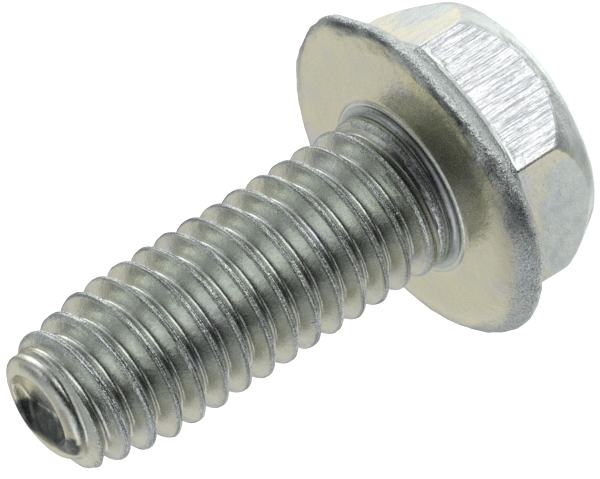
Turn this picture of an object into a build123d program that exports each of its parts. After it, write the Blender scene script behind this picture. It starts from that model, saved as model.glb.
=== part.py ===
from build123d import *
import os
from math import cos, sin, tan, radians, pi, sqrt

# Flange bolt, M6 x 1 x 16, cold forged and thread rolled from one piece.
# Own frame: +Z runs from the head to the tip, z = 0 is the bearing face of the
# flange, and the bolt stands on the flat top of its head. Millimetres.

# ---- driving dimensions -------------------------------------------------
THREAD_D = 5.95          # major diameter over the thread crests
LENGTH = 15.75           # bearing face to tip
LEAD_Z = 11.95           # where the crests begin to taper towards the tip
LEAD_R2, LEAD_Z2 = 2.45, 14.90   # crest radius at the last turn
LIP_R, LIP_Z = 2.02, 15.34       # shoulder of the rounded point
LIP_FLAT_R = 1.42        # where the rounded lip turns into the cup
CUP_R, CUP_DEPTH = 1.28, 0.30    # shallow forging cup in the end face

NECK_TOP = 0.50          # where the plain shank meets the fillet under the head
FILLET_R = 3.20          # outer radius of the fillet under the head
BEAD_R, BEAD_H = 3.36, 0.06      # small raised ring round the fillet

BEAR_R = 5.90            # outer radius of the flat bearing face
RIM_R = 6.40             # greatest radius of the flange
RIM_Z = -0.72            # height of that radius
UNDER_R, UNDER_Z = 6.12, -1.08   # where the rim turns into the flange top
CONE_R, CONE_Z = 4.70, -1.72     # flange top where it meets the hexagon flats
HEX_AF = 9.54            # width across flats
HEX_CORNER_R = 0.18      # rounding of the six long corners
HEAD_Z = -4.85           # flat top of the head
TOP_R = 4.20              # radius of the flat top
SHOULDER_R, SHOULDER_Z = 4.80, -4.30   # head shoulder, seen in section
CROWN_R, CROWN_Z = 5.52, -3.10         # where the shoulder leaves the corners

# ---- shank, point and flange: one turned section ------------------------
with BuildPart() as turned:
    with BuildSketch(Plane.XZ) as sk:
        with BuildLine() as outline:
            r = THREAD_D / 2
            # shank and tapered lead
            Line((0, HEAD_Z + 1.0), (RIM_R - 2.6, HEAD_Z + 1.0))
            Line((RIM_R - 2.6, HEAD_Z + 1.0), (RIM_R - 2.6, CONE_Z - 0.45))
            # flange top: short concave sweep away from the hexagon, then the cone
            Spline((RIM_R - 2.6, CONE_Z - 0.45), (CONE_R, CONE_Z), (UNDER_R, UNDER_Z),
                   tangents=[(0.62, 0.55), (0.98, 0.30)])
            # rounded rim
            Spline((UNDER_R, UNDER_Z), (RIM_R, RIM_Z), (BEAR_R, 0.0),
                   tangents=[(0.98, 0.30), (-1.0, 0.10)])
            # bearing face, bead and fillet
            Line((BEAR_R, 0.0), (BEAD_R, 0.0))
            ThreePointArc((BEAD_R, 0.0), ((BEAD_R + FILLET_R) / 2, BEAD_H), (FILLET_R, 0.02))
            Spline((FILLET_R, 0.02), (r, NECK_TOP), tangents=[(-1.0, 0.02), (0.0, 1.0)])
            Line((r, NECK_TOP), (r, LEAD_Z))
            Line((r, LEAD_Z), (LEAD_R2, LEAD_Z2))
            # rounded point and the cup in its end
            Line((LEAD_R2, LEAD_Z2), (LIP_R, LIP_Z))
            Spline((LIP_R, LIP_Z), (LIP_FLAT_R + 0.12, LENGTH),
                   tangents=[(LIP_R - LEAD_R2, LIP_Z - LEAD_Z2), (-1.0, 0.0)])
            Line((LIP_FLAT_R + 0.12, LENGTH), (LIP_FLAT_R, LENGTH))
            Spline((LIP_FLAT_R, LENGTH), (CUP_R * 0.55, LENGTH - CUP_DEPTH * 0.82), (0, LENGTH - CUP_DEPTH),
                   tangents=[(-0.8, -0.5), (-1.0, 0.0)])
            Line((0, LENGTH - CUP_DEPTH), (0, HEAD_Z + 1.0))
        make_face()
    revolve(axis=Axis.Z)

# ---- hexagon, with its corners rounded and its top crowned ---------------
hex_sketch = RegularPolygon(radius=HEX_AF / 2, side_count=6, major_radius=False, rotation=30 + 11.9)
hexagon = extrude(Plane.XY.offset(HEAD_Z) * hex_sketch, amount=-HEAD_Z - 0.9)
long_edges = [e for e in hexagon.edges() if abs((e.position_at(1) - e.position_at(0)).Z) > 1.0]
hexagon = fillet(long_edges, HEX_CORNER_R)

with BuildPart() as crown:
    with BuildSketch(Plane.XZ) as ck:
        with BuildLine():
            Line((0, 0.5), (7.0, 0.5))
            Line((7.0, 0.5), (7.0, CROWN_Z + 1.4))
            Line((7.0, CROWN_Z + 1.4), (CROWN_R + 0.10, CROWN_Z + 1.4))
            Spline((CROWN_R + 0.10, CROWN_Z + 1.4), (CROWN_R, CROWN_Z), (SHOULDER_R, SHOULDER_Z), (TOP_R, HEAD_Z),
                   tangents=[(0.0, -1.0), (-1.0, -0.12)])
            Line((TOP_R, HEAD_Z), (0, HEAD_Z))
            Line((0, HEAD_Z), (0, 0.5))
        make_face()
    revolve(axis=Axis.Z)

head = hexagon & crown.part
bolt = turned.part + head
bolt = bolt.clean()

solids = bolt.solids()
print("solids", len(solids), "volume mm3", round(bolt.volume, 1), "mass g", round(bolt.volume * 7.85e-3, 2))
bb = bolt.bounding_box()
print("box", bb.min, bb.max)

os.makedirs("parts", exist_ok=True)
export_step(solids[0], "parts/flange_bolt.step")
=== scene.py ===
import bpy
import math
import numpy as np
from mathutils import Matrix, Vector


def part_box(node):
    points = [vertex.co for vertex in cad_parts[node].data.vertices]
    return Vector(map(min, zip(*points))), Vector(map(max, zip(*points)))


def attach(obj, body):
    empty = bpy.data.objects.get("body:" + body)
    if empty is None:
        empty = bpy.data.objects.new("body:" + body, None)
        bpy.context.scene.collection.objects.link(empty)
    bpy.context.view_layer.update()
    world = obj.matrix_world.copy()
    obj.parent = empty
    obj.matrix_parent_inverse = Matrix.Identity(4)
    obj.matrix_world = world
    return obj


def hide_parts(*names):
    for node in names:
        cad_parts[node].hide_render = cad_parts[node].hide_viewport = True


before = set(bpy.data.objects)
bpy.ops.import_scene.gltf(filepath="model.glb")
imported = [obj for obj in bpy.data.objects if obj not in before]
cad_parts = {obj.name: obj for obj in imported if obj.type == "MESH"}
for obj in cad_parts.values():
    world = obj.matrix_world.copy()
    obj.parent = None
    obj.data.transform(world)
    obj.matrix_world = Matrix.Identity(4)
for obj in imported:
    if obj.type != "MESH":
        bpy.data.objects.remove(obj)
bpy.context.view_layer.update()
MM = 0.001
lo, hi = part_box("flange_bolt")
TIP = hi[2] / MM            # end of the point
TOP = lo[2] / MM            # flat top of the head, which it stands on
TAU = 2 * math.pi

# ------------------------------------------------------------------ helpers
def lerp(a, b, t):
    return a + (b - a) * t

def step(a, b, x):
    t = np.clip((x - a) / (b - a), 0.0, 1.0)
    return t * t * (3 - 2 * t)

def bump1(x, c, w):
    return np.exp(-((x - c) / w) ** 2)

def angdist(a, b):
    return (a - b + math.pi) % TAU - math.pi

def ring_noise(seed, lo_f, hi_f, falloff=1.0):
    """A smooth periodic function of azimuth, with zero mean and unit size."""
    rng = np.random.default_rng(seed)
    ks = np.arange(lo_f, hi_f + 1)
    amp = rng.normal(size=len(ks)) / ks ** falloff
    ph = rng.uniform(0, TAU, len(ks))
    norm = math.sqrt(float((amp ** 2).sum()) / 2)
    return lambda a: sum(A * np.cos(k * a + p) for A, k, p in zip(amp, ks, ph)) / norm

def table(pts):
    """Periodic smooth interpolation of (degrees, value) pairs."""
    pts = sorted(pts)
    xs = np.radians([p[0] for p in pts]); ys = np.array([p[1] for p in pts], float)
    xs = np.concatenate([xs - TAU, xs, xs + TAU]); ys = np.concatenate([ys, ys, ys])
    def f(a):
        a = (np.asarray(a) + math.pi) % TAU - math.pi
        i = np.clip(np.searchsorted(xs, a) - 1, 0, len(xs) - 2)
        t = (a - xs[i]) / (xs[i + 1] - xs[i])
        t = t * t * (3 - 2 * t)
        return ys[i] + (ys[i + 1] - ys[i]) * t
    return f

# ------------------------------------------------------------------ columns
DEL = math.radians(11.9)              # azimuth of the first flat
AF2 = 4.77                            # half the width across flats
CORNER = 0.16                         # rounding of the long corners
edge_a = math.atan((AF2 * math.tan(math.pi / 6) - CORNER * math.tan(math.pi / 6) * 1.0) / AF2)
NFLAT, NCOR = 32, 4
cols = []
for s in range(6):
    c = DEL + s * math.pi / 3
    cols += list(c + np.linspace(-edge_a, edge_a, NFLAT, endpoint=False))
    cols += list(c + np.linspace(edge_a, math.pi / 3 - edge_a, NCOR, endpoint=False))
PHI = np.array(cols)
NC = len(PHI)

# ------------------------------------------------------------------ thread
PITCH = 1.0
Z0 = 14.29                            # a crest's height at azimuth 0
R_MAJ = 2.975
def crest_env(z):
    r = R_MAJ - 0.180 * np.maximum(0.0, z - 12.2)
    return r

def depth_env(z):
    d = 0.60 - 0.20 * step(12.6, 15.2, z)
    return d * step(0.30, 1.75, z)

U = np.array([0.0, 0.028, 0.056, 0.082, 0.125, 0.20, 0.29, 0.375, 0.44])
U = np.concatenate([U, 1 - U[1:][::-1], ]) if False else np.concatenate([U, [0.5], 1 - U[1:][::-1]])
NR = len(U)                           # rows in one pitch

def tooth(u, widen):
    """Thread form: 0 at the crest, 1 at the root. u is the distance from the crest in pitches."""
    u = np.abs((u + 0.5) % 1.0 - 0.5)
    half_crest = 0.062 + 0.055 * widen
    half_root = 0.090
    t = (u - half_crest) / (0.5 - half_root - half_crest)
    s = 0.06
    # softened clamp
    def soft(x):
        return np.where(x < -s, 0, np.where(x > s, x, (x + s) ** 2 / (4 * s)))
    return 1 - soft(1 - soft(t))

n1 = ring_noise(3, 1, 9, 0.7)
n2 = ring_noise(5, 2, 14, 0.6)
n3 = ring_noise(8, 3, 40, 0.5)
n4 = ring_noise(13, 5, 60, 0.35)
n5 = ring_noise(21, 8, 90, 0.25)

def thread_r(z, phi, u):
    widen = step(12.4, 15.0, z)
    env = crest_env(z)
    # the axial run of the helix, unrolled, gives every turn its own irregularity
    turn = (z - phi / TAU)
    run = phi + TAU * np.round(z - phi / TAU - (Z0 % 1.0))
    d = depth_env(z)
    r = env - d * tooth(u, widen)
    uu = np.abs((u + 0.5) % 1.0 - 0.5)
    crest = np.exp(-(uu / 0.075) ** 2)
    # crests roll in from two sides and close in a seam, which wanders
    seam = 0.022 + 0.016 * n2(run * 0.37 + 1.0) + 0.010 * widen
    wander = 0.012 * n1(run * 0.61)
    v = ((u + 0.5) % 1.0 - 0.5) - wander
    r = r - np.clip(seam, 0.004, 0.05) * np.exp(-(v / 0.024) ** 2) * step(1.3, 2.2, z)
    r = r + crest * (0.014 * n3(run * 0.23) + 0.009 * n4(run * 0.41)) + 0.004 * n5(run * 0.17 + u * 9) * step(1.0, 2.0, z)
    r = r + 0.09 * step(14.0, 14.9, z) * bump1(angdist(phi, -1.5), 0, 0.8)
    return r

verts, faces = [], []
index = {}
def vid(x, y, z):
    k = (round(x * 2e5), round(y * 2e5), round(z * 2e5))
    i = index.get(k)
    if i is None:
        i = index[k] = len(verts)
        verts.append((x * MM, y * MM, z * MM))
    return i

def strip(ring_a, ring_b):
    """Faces between two closed or shifted rings of vertex ids, a above b."""
    for j in range(len(ring_a) - 1):
        q = [ring_a[j], ring_b[j], ring_b[j + 1], ring_a[j + 1]]
        p = []
        for v in q:
            if v not in p:
                p.append(v)
        if len(p) >= 3:
            faces.append(p)

ZA, ZB = 0.50, 15.10                  # the helical grid lies between these heights
phi_ext = np.concatenate([PHI, [PHI[0] + TAU]]) - DEL   # 0 .. 2 pi, measured from the first flat
az_ext = np.concatenate([PHI, [PHI[0] + TAU]])

# a helical row is a curve of constant u: z = w + az / 2 pi
base_w = Z0 % 1.0 - 0.0
rows = []
k = -2
w_list, u_list = [], []
for turn in range(-3, 18):
    for u in U:
        w_list.append(turn + base_w - (0 if True else 0) + u)
        u_list.append(u)
w_arr = np.array(w_list); u_arr = np.array(u_list)
grid = []
for w, u in zip(w_arr, u_arr):
    z = w + az_ext / TAU * PITCH
    if z.max() < ZA - 0.12 or z.min() > ZB + 0.12:
        continue
    zc = np.clip(z, ZA, ZB)
    # after the clamp the phase follows from the height itself
    uu = (zc - az_ext / TAU - base_w) % 1.0
    r = thread_r(zc, az_ext % TAU, uu)
    grid.append((zc, r))

def tip_shift(z):
    return 0.22 * step(14.3, 15.45, z)

def ring_ids(r, z, close=True, dy=0.0):
    a = az_ext
    zz = z if np.ndim(z) else np.full(len(a), z)
    rr = r if np.ndim(r) else np.full(len(a), r)
    x = rr * np.cos(a); y = rr * np.sin(a) + dy
    return [vid(float(x[j]), float(y[j]), float(zz[j])) for j in range(len(a))]

prev = None
first = last = None
for zc, r in grid:
    x = r * np.cos(az_ext); y = r * np.sin(az_ext) + tip_shift(zc)
    ids = [vid(float(x[j]), float(y[j]), float(zc[j])) for j in range(NC + 1)]
    if prev is not None:
        strip(ids, prev)
    if first is None:
        first = ids
    prev = ids
last = prev
def top_r_at(z):
    uu = (z - az_ext / TAU - base_w) % 1.0
    return thread_r(np.full(NC + 1, z), az_ext % TAU, uu)

# ------------------------------------------------------------------ point
r_start = top_r_at(ZB)
cur = ring_ids(r_start, ZB, dy=tip_shift(ZB))
lip_wob = ring_noise(31, 1, 6, 0.8)
def end_depth(x, y):
    """How far the forged end lies below the lip: a slope that drops into a trough on one side."""
    v = -0.65 * x - 0.76 * y
    d1 = 0.06 + 0.44 * np.clip((v + 1.35) / 1.65, 0, 1)
    d2 = 0.50 * np.clip((1.42 - v) / 1.05, 0, 1) ** 0.9
    return np.minimum(d1, d2)
lip = [(15.14, 0.35, 2.00), (15.19, 0.75, 1.99), (15.25, 1.0, 1.98), (15.34, 1.0, 1.985), (15.44, 1.0, 1.965), (15.53, 1.0, 1.92),
       (15.60, 1.0, 1.85), (15.66, 1.0, 1.76), (15.70, 1.0, 1.66), (15.725, 1.0, 1.56), (15.73, 1.0, 1.48)]
for z, s_, target in lip:
    low = bump1(angdist(az_ext, -1.5), 0, 0.8)
    r = lerp(r_start, target + 0.10 * low * (15.75 - z) / 0.6, s_) + 0.025 * lip_wob(az_ext) * s_
    nxt = ring_ids(r, z, dy=tip_shift(z))
    strip(nxt, cur); cur = nxt
for f in (0.97, 0.94, 0.90, 0.85, 0.79, 0.72, 0.64, 0.55, 0.45, 0.35, 0.25, 0.16, 0.08):
    rr = 1.48 * f * (1 + 0.017 * lip_wob(az_ext) * f)
    x = rr * np.cos(az_ext); y = rr * np.sin(az_ext)
    z = 15.73 - end_depth(x, y) * step(1.0, 0.86, f)
    nxt = ring_ids(rr, z, dy=tip_shift(TIP))
    strip(nxt, cur); cur = nxt
c = vid(0.0, 0.22, float(15.73 - end_depth(0.0, 0.0)))
for j in range(NC):
    faces.append([c, cur[j], cur[j + 1]])

# ------------------------------------------------------------------ neck, flange
az = az_ext
cphi = np.cos(az)
cur = ring_ids(top_r_at(ZA), ZA, dy=tip_shift(ZA))
front = np.clip(cphi, 0, 1)
rimw = ring_noise(41, 2, 7, 0.6)
rimf = ring_noise(43, 6, 40, 0.6)
rims = ring_noise(47, 20, 90, 0.2)

# azimuth tables of the forged rim: overall growth and thickness
grow = table([(-180, 0.02), (-140, 0.00), (-110, -0.02), (-85, 0.04), (-60, -0.02), (-40, 0.04), (-20, 0.02), (0, 0.0), (15, 0.0), (30, 0.02), (50, 0.05), (65, 0.02), (78, 0.20), (90, 0.12), (105, 0.0), (130, 0.0), (155, 0.0)])
thin = table([(-180, 0.35), (-120, 0.10), (-60, 0.0), (-30, 0.08), (-12, 0.40), (0, 0.85), (18, 1.0), (34, 0.85), (52, 0.70), (75, 0.60), (100, 0.60), (140, 0.50)])

neck = [
    (2.965, 0.46), (2.965, 0.41), (2.960, 0.375), (2.945, 0.352), (2.93, 0.335),
    (2.94, 0.28), (2.965, 0.215), (3.01, 0.15), (3.07, 0.100), (3.14, 0.070), (3.195, 0.072),
    (3.24, 0.088), (3.29, 0.088), (3.335, 0.065), (3.37, 0.030), (3.40, 0.0),
]
for i, (r, z) in enumerate(neck):
    nxt = ring_ids(r + 0.004 * rimw(az * 1.0) * (i > 3), z)
    strip(cur, nxt); cur = nxt
for r in (3.6, 3.9, 4.2, 4.5, 4.8):
    nxt = ring_ids(r, 0.0); strip(cur, nxt); cur = nxt
rim = [  # radius, height, share of the rim's growth, share of the thinning
    (5.05, -0.015, 0.1, 0), (5.25, -0.045, 0.2, 0), (5.43, -0.090, 0.35, 0), (5.58, -0.145, 0.5, 0), (5.72, -0.210, 0.65, 0),
    (5.84, -0.280, 0.8, 0), (5.95, -0.360, 0.9, 0.05), (6.05, -0.450, 1, 0.1), (6.14, -0.545, 1, 0.2), (6.21, -0.645, 1, 0.35),
    (6.26, -0.750, 1, 0.5), (6.275, -0.860, 1, 0.7), (6.255, -0.965, 1, 0.85), (6.20, -1.060, 1, 1), (6.11, -1.135, 1, 1),
    (5.98, -1.190, .9, 1), (5.80, -1.235, .7, 1), (5.58, -1.285, .5, .9), (5.40, -1.330, .3, .7),
]
sharp = [(5.05, 0), (5.25, -0.004), (5.43, -0.012), (5.58, -0.022), (5.72, -0.036), (5.84, -0.052), (5.95, -0.074), (6.05, -0.105), (6.14, -0.155),
         (6.20, -0.215), (6.235, -0.290), (6.235, -0.380), (6.195, -0.480), (6.12, -0.580), (6.02, -0.690), (5.90, -0.810), (5.76, -0.940), (5.58, -1.080), (5.40, -1.210)]
wt_ = thin(az)
for (r, z, g, th), (r2, z2) in zip(rim, sharp):
    wr = g * (1 - 0.0 * wt_)
    rr = lerp(r, r2, wt_) + g * (grow(az) + 0.014 * rimw(az) + 0.008 * rimf(az) + 0.006 * rims(az) * (r > 5.9))
    zz = lerp(z, z2, wt_) + g * 0.014 * rimf(az + 1.3 + r)
    nxt = ring_ids(rr, zz); strip(cur, nxt); cur = nxt

# ------------------------------------------------------------------ hexagon
def hex_r(a, grow_mm=0.0):
    d = np.abs((a - DEL + math.pi / 6) % (math.pi / 3) - math.pi / 6)
    ap = AF2 + grow_mm
    r = ap / np.cos(d)
    # rounded corner: a circle tangent to both flats
    rc = CORNER
    cx = (ap - rc) / math.cos(math.pi / 6)
    e = math.pi / 6 - d
    t_edge = math.pi / 6 - math.atan((ap * math.tan(math.pi / 6) - rc * math.tan(math.pi / 6)) / ap)
    disc = np.maximum(rc ** 2 - (cx * np.sin(e)) ** 2, 0)
    rr = cx * np.cos(e) + np.sqrt(disc)
    return np.where(e < t_edge, rr, r)

bulge = table([(-180, 0.0), (-85, 0.04), (-65, 0.10), (-48, 0.10), (-28, 0.05), (-19, 0.0), (12, 0.0), (42, 0.0), (70, 0.05), (100, 0.03)])
H = hex_r(az)
# the flats meet the flange top on a curve: lower at the middle of a flat, higher at a corner
over = H - AF2
z_root = -1.80 + 0.42 * over
for f in (0.25, 0.5, 0.72, 0.88, 0.97, 1.0):
    r = lerp(5.40 + 0.3 * grow(az), H, f ** 0.8)
    r = np.where(H > 5.25, lerp(5.42, H, f), r)
    z = lerp(lerp(-1.330, -1.210, wt_), z_root, f ** 1.3)
    nxt = ring_ids(r, z); strip(cur, nxt); cur = nxt

# the crown: corners are rounded away towards the flat top
CR0, CRZ0 = 5.52, -3.05
def crown_z(r):
    """Height at which the crown surface passes radius r."""
    return np.interp(r, [4.10, 4.30, 4.45, 4.60, 4.77, 5.0, 5.25, 5.45, 5.6], [TOP, TOP + 0.02, TOP + 0.09, TOP + 0.25, -4.28, -3.98, -3.62, -3.22, -2.8])
zc = crown_z(H)
for f in (0.03, 0.10, 0.25, 0.45, 0.65, 0.82, 0.93, 0.975, 1.0):
    z = lerp(z_root, zc, f)
    b = bulge(az) * math.sin(min(f, 0.92) / 0.92 * math.pi / 2)
    nxt = ring_ids(H + b, z); strip(cur, nxt); cur = nxt
b_end = bulge(az)
# over the shoulder
for f in (0.08, 0.18, 0.30, 0.43, 0.56, 0.68, 0.79, 0.88, 0.95, 1.0):
    r = lerp(H, 4.15, f)
    z = crown_z(r)
    # rounder than the cone it follows
    puff = 0.10 * math.sin(f * math.pi) ** 0.8
    nxt = ring_ids(r + puff * 0.9 + b_end * (1 - f), np.maximum(z - puff * 0.35, TOP)); strip(cur, nxt); cur = nxt
for r in (3.9, 3.3, 2.6, 1.8, 1.0, 0.4):
    nxt = ring_ids(r, TOP); strip(cur, nxt); cur = nxt
c = vid(0.0, 0.0, TOP)
for j in range(NC):
    faces.append([c, cur[j + 1], cur[j]])

me = bpy.data.meshes.new("bolt_body")
me.from_pydata(verts, [], faces)
me.validate()
bolt = bpy.data.objects.new("bolt_body", me)
bpy.context.scene.collection.objects.link(bolt)
import bmesh
bm = bmesh.new(); bm.from_mesh(me)
bmesh.ops.remove_doubles(bm, verts=bm.verts, dist=1e-7)
bmesh.ops.recalc_face_normals(bm, faces=bm.faces)
bmesh.ops.holes_fill(bm, edges=[e for e in bm.edges if e.is_boundary], sides=0)
open_edges = sum(1 for e in bm.edges if not e.is_manifold)
print("mesh", len(bm.verts), "verts", len(bm.faces), "faces", "tris", sum(len(f.verts) - 2 for f in bm.faces), "open edges", open_edges)
for f in bm.faces:
    f.smooth = True
bm.to_mesh(me); bm.free()

# ------------------------------------------------------------------ zones
nv = len(me.vertices)
co = np.empty(nv * 3, np.float32); me.vertices.foreach_get("co", co); co = co.reshape(-1, 3) / MM
vr = np.hypot(co[:, 0], co[:, 1]); va = np.arctan2(co[:, 1], co[:, 0]); vz = co[:, 2]
zone = np.zeros((nv, 4), np.float32); zone[:, 3] = 1
nrm = np.empty(nv * 3, np.float32); me.vertices.foreach_get("normal", nrm); nrm = nrm.reshape(-1, 3)
face_part = np.where((vz < 0.2) & (vr > 3.25) & (vz > -0.6), step(0.80, 0.97, nrm[:, 2]), 0.0)
rim_part = np.where((vr > 5.0) & (vz < 0.0) & (vz > -1.5), 1 - step(0.80, 0.97, nrm[:, 2]), 0.0)
dflat = (va - DEL + math.pi / 6) % (math.pi / 3) - math.pi / 6
on_flat = (np.abs(vr * np.cos(dflat) - AF2) < 0.03) & (vz < -1.75) & (vz > -4.35)
first_flat = on_flat & (np.abs(angdist(va, DEL)) < math.pi / 6)
shank = (vz > 0.5)
crest_v = shank & (vr > crest_env(vz) - 0.10)
zone[:, 0] = face_part
zone[on_flat, 0] = 0.95
# painted highlight: the flat facing the camera gets no beige, the other flats are beige
zone[first_flat, 0] = 0.0
# painted reflection tone: the thread roots are grey on the side facing the camera and beige away from it
zone[shank & ~crest_v, 0] = 0.15 + 0.55 * step(0.6, 1.4, np.abs(angdist(va, 0.1)))[shank & ~crest_v]
zone[(vz > 15.3) & (vr < 1.7), 0] = 0.85
zone[:, 1] = rim_part
zone[crest_v, 1] = 0.55
# painted highlight and real trim scratches: the flat facing the camera gets the whiter colour and the scratches in
# full, the other flats only slightly
zone[first_flat, 2] = 1.0
zone[on_flat & ~first_flat, 2] = 0.12
# painted shade and painted reflection: the colour is darkened on the folds of the rolled rim, along the seams of the
# crests, on the fillet and in the trough of the end
painted_dark = np.zeros(nv)
window = step(-0.80, -0.50, va) * (1 - step(1.25, 1.65, va))
rim_shade_wobble = 0.62 + 0.38 * ring_noise(61, 4, 30, 0.4)(va)
# painted reflection: a dark band on the rim's upward slope, only within an azimuth window round the camera side
painted_dark = np.maximum(painted_dark, rim_part * step(0.25, 0.70, nrm[:, 2]) * window * np.clip(rim_shade_wobble, 0.1, 1.0))
# painted reflection: a narrower dark band on the rim round azimuth -0.5 rad
painted_dark = np.maximum(painted_dark, 0.85 * bump1(angdist(va, -0.50), 0, 0.16) * rim_part * step(-0.1, 0.35, nrm[:, 2]))
phase = ((vz - (va % TAU) / TAU - base_w + 0.5) % 1.0) - 0.5
run_v = (va % TAU) + TAU * np.round(vz - (va % TAU) / TAU - (Z0 % 1.0))
# painted shade: dark lines along the seams and flanks of the crests
for off, wd, am, sd in ((0.0, 0.022, 0.95, 71), (0.085, 0.020, 0.8, 73), (-0.10, 0.020, 0.6, 75)):
    am_v = np.clip(0.45 + 0.6 * ring_noise(sd, 3, 40, 0.2)(run_v * 0.29), 0, 1) * am
    line_v = np.exp(-((phase - off - 0.012 * n1(run_v * 0.61)) / wd) ** 2)
    painted_dark = np.maximum(painted_dark, am_v * line_v * (shank & (vz < 15.05) & (vz > 1.2)))
# painted shade and painted reflection: the fillet at the neck is darkened, most round azimuth 0.25 rad
painted_dark = np.maximum(painted_dark, 0.75 * ((vz < 0.36) & (vz > 0.06) & (vr < 3.2)) * (0.3 + 0.7 * bump1(angdist(va, 0.25), 0, 0.9)))
# painted reflection: a dark patch on the shank just above the neck, round azimuth 0.15 rad
painted_dark = np.maximum(painted_dark, 0.80 * step(0.40, 0.55, vz) * (1 - step(0.85, 1.25, vz)) * bump1(angdist(va, 0.15), 0, 0.55) * (vr < 3.1))
# painted reflection: the black area in the trough of the end's dish
vv = -0.65 * co[:, 0] - 0.76 * (co[:, 1] - 0.22)
in_dish = (vz > 15.1) & (vr < 1.75)
painted_dark = np.maximum(painted_dark, 0.97 * in_dish * step(0.28, 0.42, vv + 0.07 * np.sin(co[:, 0] * 19)) * (1 - step(1.20, 1.36, vv)))
painted_shade_rgba = np.zeros((nv, 4), np.float32); painted_shade_rgba[:, 3] = 1; painted_shade_rgba[:, 0] = painted_dark
painted_shade_attr = me.color_attributes.new("painted_shade", "FLOAT_COLOR", "POINT")
painted_shade_attr.data.foreach_set("color", painted_shade_rgba.ravel())
attr = me.color_attributes.new("zone", "FLOAT_COLOR", "POINT")
attr.data.foreach_set("color", zone.ravel())

# ------------------------------------------------------------------ material
mat = bpy.data.materials.new("zinc_plate")
mat.use_nodes = True
nt = mat.node_tree
N = nt.nodes
bsdf = N["Principled BSDF"]
bsdf.inputs["Metallic"].default_value = 1.0
def node(kind, **kw):
    n = N.new(kind)
    for k, v in kw.items():
        setattr(n, k, v)
    return n
def link(a, b):
    nt.links.new(a, b)
def math_n(op, a, b=0.0, clamp=False):
    n = node("ShaderNodeMath", operation=op, use_clamp=clamp)
    for i, v in enumerate((a, b)):
        if isinstance(v, (int, float)):
            n.inputs[i].default_value = v
        else:
            link(v, n.inputs[i])
    return n.outputs[0]
tc = node("ShaderNodeTexCoord")
za = node("ShaderNodeVertexColor", layer_name="zone")
sep = node("ShaderNodeSeparateColor"); link(za.outputs["Color"], sep.inputs[0])
beige, rough_zone, scratches_and_sheen = sep.outputs[0], sep.outputs[1], sep.outputs[2]
def noise(scale_xyz, detail, rough=0.55):
    mp = node("ShaderNodeMapping"); mp.inputs["Scale"].default_value = tuple(1000 * v for v in scale_xyz)
    link(tc.outputs["Object"], mp.inputs[0])
    n = node("ShaderNodeTexNoise"); n.inputs["Scale"].default_value = 1.0
    n.inputs["Detail"].default_value = detail; n.inputs["Roughness"].default_value = rough
    link(mp.outputs[0], n.inputs["Vector"])
    return n.outputs["Fac"]
def mix(fac, a, b, blend="MIX"):
    n = node("ShaderNodeMix", data_type="RGBA", blend_type=blend)
    for i, v in ((0, fac), (6, a), (7, b)):
        if isinstance(v, (int, float)):
            n.inputs[i].default_value = v
        elif isinstance(v, tuple):
            n.inputs[i].default_value = v
        else:
            link(v, n.inputs[i])
    return n.outputs[2]
def span(v, a, b, c=0.0, d=1.0):
    n = node("ShaderNodeMapRange"); link(v, n.inputs[0])
    for i, x in enumerate((a, b, c, d)):
        n.inputs[i + 1].default_value = x
    return n.outputs[0]
big = noise((0.55, 0.55, 0.55), 3)
mid = noise((2.2, 2.2, 2.2), 4)
fine = noise((11, 11, 11), 3, 0.65)
speck = noise((5.5, 5.5, 5.5), 2)
streak = noise((13.0, 13.0, 0.45), 3, 0.7)
grey = mix(span(mid, 0.35, 0.65), (0.46, 0.51, 0.50, 1), (0.56, 0.59, 0.56, 1))
tan_ = mix(span(big, 0.38, 0.62), (0.63, 0.60, 0.43, 1), (0.585, 0.575, 0.46, 1))
col = mix(beige, grey, tan_)
col = mix(span(big, 0.60, 0.68, 0.0, 0.5), col, (0.54, 0.54, 0.62, 1))
# painted highlight: the whiter colour of the flat facing the camera
col = mix(math_n("MULTIPLY", scratches_and_sheen, 0.9), col, (0.74, 0.75, 0.76, 1))
col = mix(span(speck, 0.66, 0.74, 0.0, 0.45), col, (0.30, 0.30, 0.28, 1))
col = mix(math_n("MULTIPLY", rough_zone, span(fine, 0.48, 0.64, 0.0, 0.75)), col, (0.26, 0.29, 0.30, 1))
col = mix(math_n("MULTIPLY", scratches_and_sheen, span(streak, 0.48, 0.60, 0.0, 0.9)), col, (0.36, 0.38, 0.40, 1))
sa = node("ShaderNodeVertexColor", layer_name="painted_shade")
ss = node("ShaderNodeSeparateColor"); link(sa.outputs["Color"], ss.inputs[0])
painted_shade = math_n("MULTIPLY", ss.outputs[0], span(mid, 0.30, 0.52, 0.70, 1.0), True)
# the near-black colour of the painted shade and painted reflection, mixed in where the mask says
col = mix(painted_shade, col, (0.075, 0.085, 0.09, 1))
link(col, bsdf.inputs["Base Color"])
link(math_n("ADD", span(fine, 0.3, 0.7, 0.20, 0.34), math_n("MULTIPLY", scratches_and_sheen, 0.06)), bsdf.inputs["Roughness"])
h = math_n("MULTIPLY", mid, 0.35)
h = math_n("ADD", h, math_n("MULTIPLY", fine, 0.10))
h = math_n("ADD", h, math_n("MULTIPLY", rough_zone, math_n("MULTIPLY", speck, 1.0)))
h = math_n("ADD", h, math_n("MULTIPLY", rough_zone, math_n("MULTIPLY", fine, 0.45)))
h = math_n("ADD", h, math_n("MULTIPLY", scratches_and_sheen, math_n("MULTIPLY", streak, 0.5)))
bump = node("ShaderNodeBump"); bump.inputs["Strength"].default_value = 0.75; bump.inputs["Distance"].default_value = 0.00010
link(h, bump.inputs["Height"]); link(bump.outputs[0], bsdf.inputs["Normal"])
me.materials.append(mat)

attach(bolt, "root")
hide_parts("flange_bolt")

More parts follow.
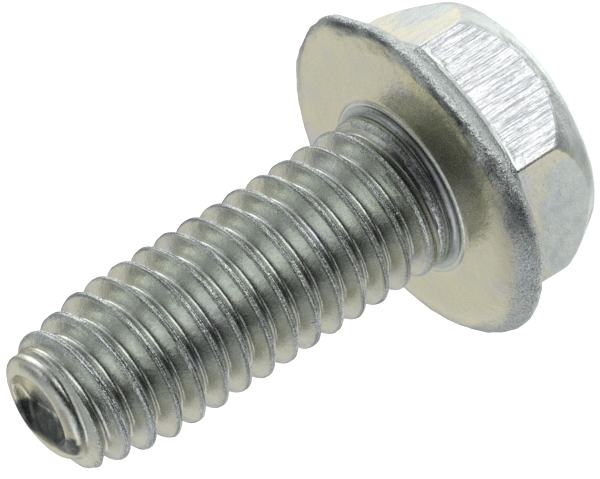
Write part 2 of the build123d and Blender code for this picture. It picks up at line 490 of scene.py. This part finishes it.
# ------------------------------------------------------------------ stage
fm = bpy.data.meshes.new("floor")
S = 3.0
fm.from_pydata([(-S, -S, 0), (S, -S, 0), (S, S, 0), (-S, S, 0)], [], [(0, 1, 2, 3)])
floor = bpy.data.objects.new("floor", fm)
floor.location = (0, 0, lo[2])
bpy.context.scene.collection.objects.link(floor)
fmat = bpy.data.materials.new("floor_white"); fmat.use_nodes = True
fb = fmat.node_tree.nodes["Principled BSDF"]
fb.inputs["Base Color"].default_value = (0.93, 0.93, 0.93, 1)
fb.inputs["Roughness"].default_value = 0.9
fb.inputs["Emission Color"].default_value = (1, 1, 1, 1)
fb.inputs["Emission Strength"].default_value = 0.70
fb.inputs["Specular IOR Level"].default_value = 0.2
fm.materials.append(fmat)
floor.visible_glossy = False      # the metal mirrors the studio's soft lights, which are all round it

world = bpy.data.worlds.new("studio"); bpy.context.scene.world = world
world.use_nodes = True
# soft lights: direction and strength of each
LIGHTS = [
    (0.066, -0.169, 0.983, 0.84),
    (-0.280, 0.138, 0.950, 0.81),
    (0.384, 0.112, 0.917, 0.82),
    (-0.102, 0.517, 0.850, 0.41),
    (0.465, -0.342, 0.817, 0.81),
    (-0.618, -0.067, 0.783, 0.58),
    (0.014, -0.697, 0.717, 1.74),
    (-0.615, -0.492, 0.617, 0.67),
    (0.125, 0.803, 0.583, 1.69),
    (0.463, -0.695, 0.550, 1.08),
    (-0.831, 0.205, 0.517, 0.96),
    (-0.289, -0.845, 0.450, 1.43),
    (-0.364, 0.833, 0.417, 0.76),
    (-0.888, -0.299, 0.350, 0.92),
    (-0.803, 0.540, 0.250, 1.06),
    (-0.996, 0.025, 0.083, 0.80),
    (0.753, 0.656, 0.050, 0.40),
    (-0.854, -0.513, -0.083, 1.05),
    (0.282, 0.952, -0.117, 1.38),
    (0.912, 0.349, -0.217, 1.85),
    (-0.433, -0.866, -0.250, 0.80),
    (-0.264, 0.922, -0.283, 3.52),
    (0.550, 0.742, -0.383, 0.18),
    (0.094, -0.904, -0.417, 1.37),
    (-0.668, 0.593, -0.450, 1.53),
    (0.875, 0.014, -0.483, 2.59),
    (-0.622, -0.588, -0.517, 1.62),
    (0.060, 0.833, -0.550, 0.73),
    (-0.777, 0.125, -0.617, 0.97),
    (0.635, 0.418, -0.650, 2.87),
    (-0.178, -0.708, -0.683, 0.72),
    (-0.331, 0.614, -0.717, 1.05),
    (0.625, -0.217, -0.750, 0.97),
    (-0.571, -0.246, -0.783, 0.97),
    (0.236, 0.527, -0.817, 0.33),
    (0.166, -0.500, -0.850, 0.25),
    (-0.409, 0.229, -0.883, 1.64),
    (0.389, 0.092, -0.917, 0.08),
    (-0.176, -0.258, -0.950, 0.63),
    (-0.026, 0.180, -0.983, 2.49),
]
wt = world.node_tree
wbg = wt.nodes["Background"]
wtc = wt.nodes.new("ShaderNodeTexCoord")
total = None
for lx, ly, lz, power in LIGHTS:
    d = wt.nodes.new("ShaderNodeVectorMath"); d.operation = "DOT_PRODUCT"
    wt.links.new(wtc.outputs["Generated"], d.inputs[0]); d.inputs[1].default_value = (lx, ly, lz)
    e1 = wt.nodes.new("ShaderNodeMath"); e1.operation = "MULTIPLY_ADD"
    wt.links.new(d.outputs["Value"], e1.inputs[0]); e1.inputs[1].default_value = 24.0
    e1.inputs[2].default_value = -24.0 + math.log(power)
    e2 = wt.nodes.new("ShaderNodeMath"); e2.operation = "EXPONENT"
    wt.links.new(e1.outputs[0], e2.inputs[0])
    if total is None:
        total = e2.outputs[0]
    else:
        add = wt.nodes.new("ShaderNodeMath"); add.operation = "ADD"
        wt.links.new(total, add.inputs[0]); wt.links.new(e2.outputs[0], add.inputs[1]); total = add.outputs[0]
wbg.inputs[0].default_value = (0.8, 0.8, 0.8, 1)
wt.links.new(total, wbg.inputs[1])

# ------------------------------------------------------------------ camera
TH, ROLL, AX, AY, D, F = 1.1391490394366692, 3.7114875574360218, -0.01974991883898488, -0.0017419873198576056, 200.0, 5803.416874767137
c = Vector((math.sin(TH), 0, math.cos(TH)))
zc_ = -c
u = (Vector((0, 0, 1)) - c * c.z).normalized()
rgt = zc_.cross(u)
R1 = rgt * math.cos(AY) + zc_ * math.sin(AY)
F1 = -rgt * math.sin(AY) + zc_ * math.cos(AY)
U1 = u * math.cos(AX) + F1 * math.sin(AX)
F2 = -u * math.sin(AX) + F1 * math.cos(AX)
ux, uy = math.cos(ROLL), -math.sin(ROLL)
rx, ry = -uy, ux
right = R1 * rx + U1 * ux
up = -(R1 * ry + U1 * uy)
back = -F2
m = Matrix((right, up, back)).transposed().to_4x4()
m.translation = c * D * MM
cam_data = bpy.data.cameras.new("camera")
cam_data.sensor_width = 36.0
cam_data.lens = F * 36.0 / 600.0
cam_data.clip_start, cam_data.clip_end = 0.005, 20.0
cam = bpy.data.objects.new("camera", cam_data)
cam.matrix_world = m
bpy.context.scene.collection.objects.link(cam)
bpy.context.scene.camera = cam
bpy.context.scene.view_settings.view_transform = "Standard"
